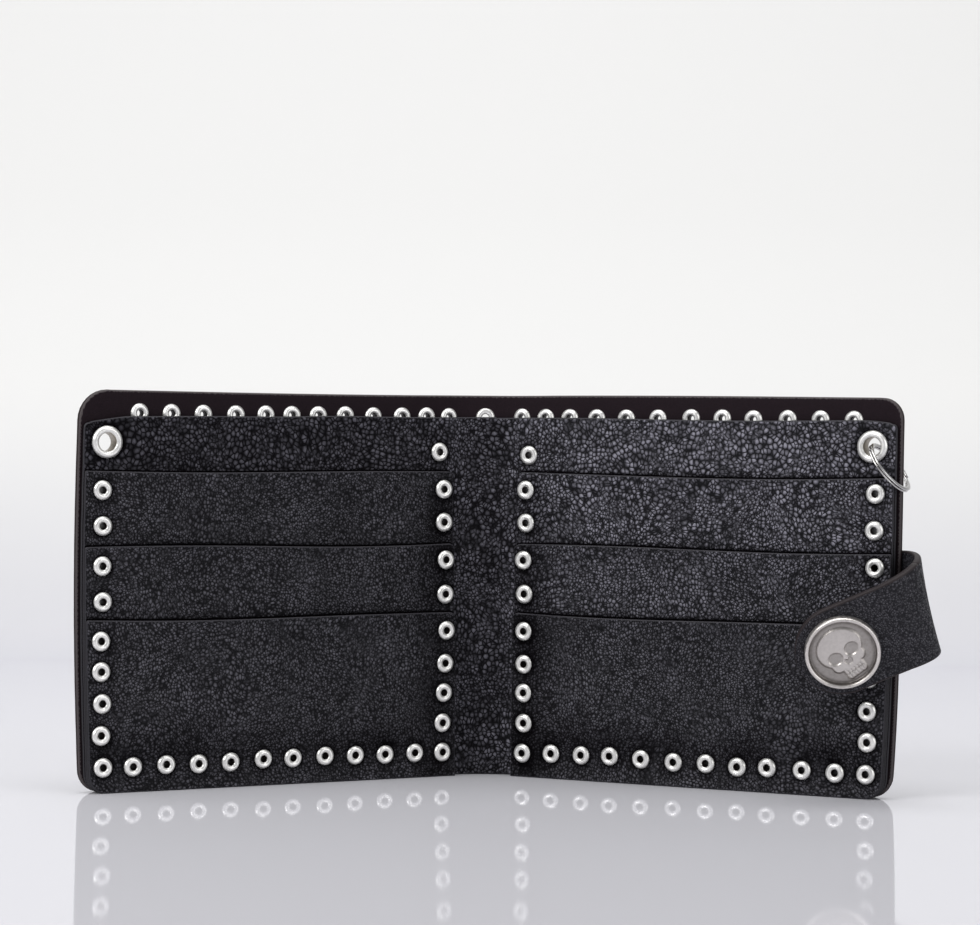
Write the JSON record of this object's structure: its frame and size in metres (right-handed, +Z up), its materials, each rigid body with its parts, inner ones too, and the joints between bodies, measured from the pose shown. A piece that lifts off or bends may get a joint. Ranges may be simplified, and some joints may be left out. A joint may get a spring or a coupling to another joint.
{
  "type": "chain wallet",
  "caption": "Black grained leather bifold wallet edged with metal eyelets, with stacked card pockets, a bill compartment, a snap strap with a metal button, chain eyelets and a split ring.",
  "frame": {"origin": "bottom edge of the spine, at the middle of the spine's width and of the cover leather's thickness; the wallet stands on Z = 0", "axes": "+Z up along the spine, +X to the right as the open wallet is read, -Y the side that the halves open towards"},
  "size_m": [0.2131, 0.0706, 0.0992],
  "materials": {
    "cover_leather": "smooth matt",
    "liner_leather": "pebble grain, satin",
    "pocket_leather": "pebble grain, satin",
    "strap_leather": "fine grain, satin",
    "nickel": "bright nickel plate",
    "ring_steel": "bright",
    "snap_metal": "satin nickel",
    "antique_pewter": "antiqued, dark in the recesses"
  },
  "bodies": {
    "spine": {"cover_spine": "cover_leather", "liner_spine": "liner_leather", "eyelet_spine_top": "nickel"},
    "left_half": {"cover_left": "cover_leather", "liner_left": "liner_leather", "pocket_left_upper": "pocket_leather", "pocket_left_middle": "pocket_leather", "pocket_left_lower": "pocket_leather", "eyelets_left_outer": "nickel", "eyelets_left_inner": "nickel", "eyelets_left_bottom": "nickel", "eyelets_left_top": "nickel", "chain_eyelet_left": "nickel", "snap_stud": "snap_metal", "snap_stud_plate": "snap_metal"},
    "right_half": {"cover_right": "cover_leather", "liner_right": "liner_leather", "pocket_right_upper": "pocket_leather", "pocket_right_middle": "pocket_leather", "pocket_right_lower": "pocket_leather", "eyelets_right_outer": "nickel", "eyelets_right_inner": "nickel", "eyelets_right_bottom": "nickel", "eyelets_right_top": "nickel", "chain_eyelet_right": "nickel", "strap_anchor": "strap_leather", "strap_rivets": "antique_pewter", "strap_rivet_plates": "snap_metal"},
    "strap_loop": {"strap_loop": "strap_leather"},
    "strap_tip": {"strap_front": "strap_leather", "concho_button": "antique_pewter", "snap_socket": "snap_metal"},
    "ring": {"split_ring": "ring_steel"}
  },
  "joints": [
    {"name": "fold_right", "type": "hinge", "parent": "spine", "child": "right_half", "pos_m": [0.007, 0, 0.0496], "axis": [0, 0, -1], "range_deg": [-28.8, 55.2]},
    {"name": "fold_left", "type": "hinge", "parent": "spine", "child": "left_half", "pos_m": [-0.007, 0, 0.0496], "axis": [0, 0, 1], "range_deg": [-28.8, 55.2]},
    {"name": "strap_root_bend", "type": "hinge", "parent": "right_half", "child": "strap_loop", "pos_m": [0.10662, -0.05482, 0.04944], "axis": [-0.2517, -0.0864, 0.9639], "range_deg": [0, 80]},
    {"name": "strap_tip_bend", "type": "hinge", "parent": "strap_loop", "child": "strap_tip", "pos_m": [0.10383, -0.06436, 0.04572], "axis": [-0.2517, -0.0864, 0.9639], "range_deg": [0, 80]},
    {"name": "ring_swing", "type": "hinge", "parent": "right_half", "child": "ring", "pos_m": [0.09539, -0.04928, 0.0871], "axis": [-0.4818, -0.8763, 0], "range_deg": [0, 140]}
  ],
  "couplings": [
    {"joint": "fold_left", "follows": "fold_right", "ratio": 1},
    {"joint": "strap_tip_bend", "follows": "strap_root_bend", "ratio": 1}
  ]
}
